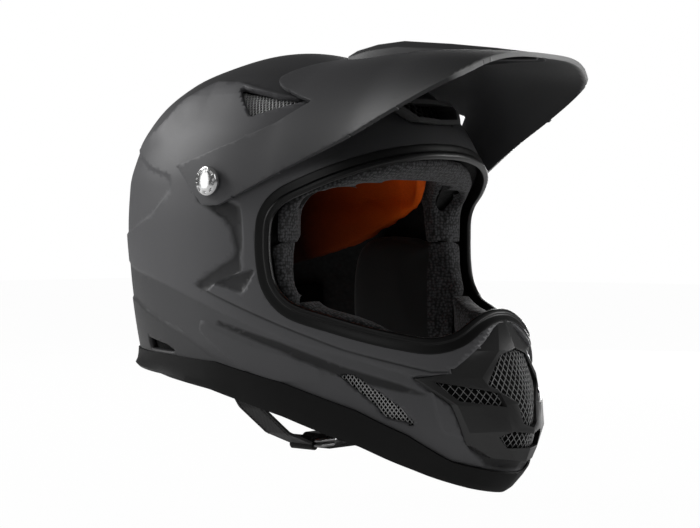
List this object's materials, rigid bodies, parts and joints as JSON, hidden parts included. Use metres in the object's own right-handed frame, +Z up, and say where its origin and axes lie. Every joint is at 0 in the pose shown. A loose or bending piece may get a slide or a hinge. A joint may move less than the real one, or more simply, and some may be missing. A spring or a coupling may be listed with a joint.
{
  "type": "full face cycling helmet",
  "caption": "Matte black full face downhill helmet with adjustable visor, faceted mouth vent, padded orange lining and a chin strap fastened with two rings.",
  "frame": {"origin": "middle of the wearer's head at hat band level, with the helmet as it is worn", "axes": "+Z up, the face opening towards -Y, the wearer's left towards +X; symmetric about X = 0 but for the strap"},
  "size_m": [0.2514, 0.3418, 0.2959],
  "materials": {
    "shell_finish": "matte clear coat over black",
    "visor_finish": "matte black",
    "edge_rubber": "satin",
    "vent_frame_gloss": "semi gloss",
    "vent_mesh": "matte grey",
    "liner_foam": "fine beaded",
    "orange_lining": "brushed knit",
    "dark_lining": "dotted mesh knit",
    "hidden_plastic": "matte",
    "strap_webbing": "woven",
    "ring_steel": "brushed",
    "screw_chrome": "polished",
    "insert_brass": "turned"
  },
  "bodies": {
    "root": {"brow_pad": "dark_lining", "brow_vent_mesh": "vent_mesh", "brow_vent_scoop": "vent_frame_gloss", "cheek_pad_backplate_left": "hidden_plastic", "cheek_pad_backplate_right": "hidden_plastic", "cheek_pad_left": "dark_lining", "cheek_pad_right": "dark_lining", "cheek_vent_mesh_left": "vent_mesh", "cheek_vent_mesh_right": "vent_mesh", "chin_bar_pad_left": "dark_lining", "chin_bar_pad_right": "dark_lining", "chin_strap_left": "strap_webbing", "chin_strap_right": "strap_webbing", "crown_pad": "orange_lining", "crown_vent_mesh_left": "vent_mesh", "crown_vent_mesh_right": "vent_mesh", "d_ring_lower": "ring_steel", "d_ring_upper": "ring_steel", "eps_chin_liner": "liner_foam", "eps_crown_liner": "liner_foam", "eye_port_trim": "edge_rubber", "lower_edge_trim": "edge_rubber", "mouth_mesh_lower": "vent_mesh", "mouth_mesh_side_left": "vent_mesh", "mouth_mesh_side_right": "vent_mesh", "mouth_mesh_upper": "vent_mesh", "mouth_vent_cover": "vent_frame_gloss", "neck_roll_pad": "dark_lining", "outer_shell": "shell_finish", "pad_socket_1_left": "hidden_plastic", "pad_socket_1_right": "hidden_plastic", "pad_socket_2_left": "hidden_plastic", "pad_socket_2_right": "hidden_plastic", "pad_socket_3_left": "hidden_plastic", "pad_socket_3_right": "hidden_plastic", "strap_anchor_left": "ring_steel", "strap_anchor_right": "ring_steel", "strap_rivet_left": "ring_steel", "strap_rivet_right": "ring_steel", "visor_insert_left": "insert_brass", "visor_insert_right": "insert_brass", "visor_washer_left": "hidden_plastic", "visor_washer_right": "hidden_plastic"},
    "visor": {"visor_peak": "visor_finish"},
    "right_screw": {"visor_screw_right": "screw_chrome"},
    "left_screw": {"visor_screw_left": "screw_chrome"}
  },
  "joints": [
    {"name": "visor_tilt", "type": "hinge", "parent": "root", "child": "visor", "pos_m": [0, -0.017, 0.03904], "axis": [1, 0, 0], "range_deg": [-6, 4]},
    {"name": "right_screw_turn", "type": "hinge", "parent": "root", "child": "right_screw", "pos_m": [-0.12, -0.017, 0.03904], "axis": [-1, 0, 0], "continuous": true},
    {"name": "left_screw_turn", "type": "hinge", "parent": "root", "child": "left_screw", "pos_m": [0.12, -0.017, 0.03904], "axis": [1, 0, 0], "continuous": true}
  ]
}
